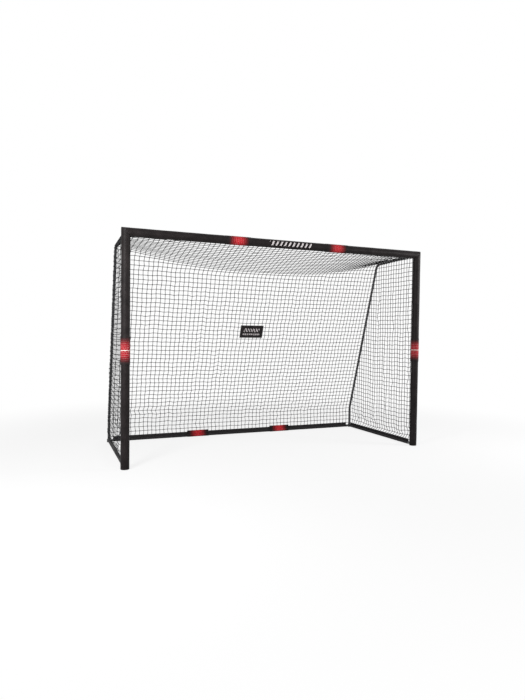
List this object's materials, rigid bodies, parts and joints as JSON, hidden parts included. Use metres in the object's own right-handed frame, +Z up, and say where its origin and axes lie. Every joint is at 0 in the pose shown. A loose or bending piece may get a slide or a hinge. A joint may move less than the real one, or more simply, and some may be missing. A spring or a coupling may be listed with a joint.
{
  "type": "football goal",
  "caption": "Free-standing football goal with a padded front frame, slanted side frames, a ground frame at the rear and a hung square-mesh net.",
  "frame": {"origin": "on the ground, in the middle of the goal's box", "axes": "+X along the crossbar, from the left post to the right post as seen from the pitch; +Y from the mouth to the rear ground tube; +Z up"},
  "size_m": [3.004, 1.2698, 2.002],
  "materials": {
    "coated_steel": "satin powder coat",
    "zinc_steel": "zinc plated, satin",
    "moulded_plastic": "fine matt grain",
    "foam": "closed-cell foam, matt",
    "sleeve_textile": "plain woven polyester, matt",
    "printed_textile": "woven polyester with a printed red band",
    "hem_textile": "woven band, matt",
    "net_cord": "knotless cord, matt",
    "label_textile": "woven patch with pale print"
  },
  "bodies": {
    "frame": {"left_post_lower_tube": "coated_steel", "left_post_upper_tube": "coated_steel", "right_post_lower_tube": "coated_steel", "right_post_upper_tube": "coated_steel", "crossbar_left_tube": "coated_steel", "crossbar_middle_tube": "coated_steel", "crossbar_right_tube": "coated_steel", "left_corner_fitting": "coated_steel", "right_corner_fitting": "coated_steel", "left_foot_plug": "moulded_plastic", "right_foot_plug": "moulded_plastic", "left_post_lower_foam": "foam", "left_post_upper_foam": "foam", "right_post_lower_foam": "foam", "right_post_upper_foam": "foam", "crossbar_left_foam": "foam", "crossbar_middle_foam": "foam", "crossbar_right_foam": "foam", "left_post_lower_cover": "sleeve_textile", "left_post_upper_cover": "sleeve_textile", "right_post_lower_cover": "sleeve_textile", "right_post_upper_cover": "sleeve_textile", "crossbar_left_cover": "sleeve_textile", "crossbar_middle_cover": "sleeve_textile", "crossbar_right_cover": "sleeve_textile", "left_post_cuff": "printed_textile", "right_post_cuff": "printed_textile", "crossbar_left_cuff": "printed_textile", "crossbar_right_cuff": "printed_textile", "left_top_brace": "coated_steel", "right_top_brace": "coated_steel", "left_rear_upright": "coated_steel", "right_rear_upright": "coated_steel", "left_ground_tube": "coated_steel", "right_ground_tube": "coated_steel", "rear_left_tube": "coated_steel", "rear_middle_tube": "coated_steel", "rear_right_tube": "coated_steel", "left_rear_corner": "moulded_plastic", "right_rear_corner": "moulded_plastic", "rear_left_cuff": "printed_textile", "rear_right_cuff": "printed_textile", "back_net": "net_cord", "roof_net": "net_cord", "left_net": "net_cord", "right_net": "net_cord", "left_hem": "hem_textile", "right_hem": "hem_textile", "rear_hem": "hem_textile", "net_label": "label_textile", "button_clips": "zinc_steel"},
    "left_post_button": {"left_post_button": "zinc_steel"},
    "crossbar_left_button": {"crossbar_left_button": "zinc_steel"},
    "rear_left_button": {"rear_left_button": "zinc_steel"},
    "left_upright_button": {"left_upright_button": "zinc_steel"},
    "right_post_button": {"right_post_button": "zinc_steel"},
    "crossbar_right_button": {"crossbar_right_button": "zinc_steel"},
    "rear_right_button": {"rear_right_button": "zinc_steel"},
    "right_upright_button": {"right_upright_button": "zinc_steel"}
  },
  "joints": [
    {"name": "left_post_button_press", "type": "slide", "parent": "frame", "child": "left_post_button", "axis": [0, -1, 0], "range_m": [0, 0.006], "stiffness_N_per_m": 2000, "springref_m": -0.002, "deforming": ["button_clips"]},
    {"name": "crossbar_left_button_press", "type": "slide", "parent": "frame", "child": "crossbar_left_button", "axis": [0, -1, 0], "range_m": [0, 0.006], "stiffness_N_per_m": 2000, "springref_m": -0.002, "deforming": ["button_clips"]},
    {"name": "rear_left_button_press", "type": "slide", "parent": "frame", "child": "rear_left_button", "axis": [0, 1, 0], "range_m": [0, 0.0035], "stiffness_N_per_m": 2500, "springref_m": -0.0015, "deforming": ["button_clips"]},
    {"name": "left_upright_button_press", "type": "slide", "parent": "frame", "child": "left_upright_button", "axis": [0.6566, 0.7542, 0], "range_m": [0, 0.0052], "stiffness_N_per_m": 2500, "springref_m": -0.0015, "deforming": ["button_clips"]},
    {"name": "right_post_button_press", "type": "slide", "parent": "frame", "child": "right_post_button", "axis": [0, -1, 0], "range_m": [0, 0.006], "stiffness_N_per_m": 2000, "springref_m": -0.002, "deforming": ["button_clips"]},
    {"name": "crossbar_right_button_press", "type": "slide", "parent": "frame", "child": "crossbar_right_button", "axis": [0, -1, 0], "range_m": [0, 0.006], "stiffness_N_per_m": 2000, "springref_m": -0.002, "deforming": ["button_clips"]},
    {"name": "rear_right_button_press", "type": "slide", "parent": "frame", "child": "rear_right_button", "axis": [0, 1, 0], "range_m": [0, 0.0035], "stiffness_N_per_m": 2500, "springref_m": -0.0015, "deforming": ["button_clips"]},
    {"name": "right_upright_button_press", "type": "slide", "parent": "frame", "child": "right_upright_button", "axis": [-0.6566, 0.7542, 0], "range_m": [0, 0.0052], "stiffness_N_per_m": 2500, "springref_m": -0.0015, "deforming": ["button_clips"]}
  ]
}
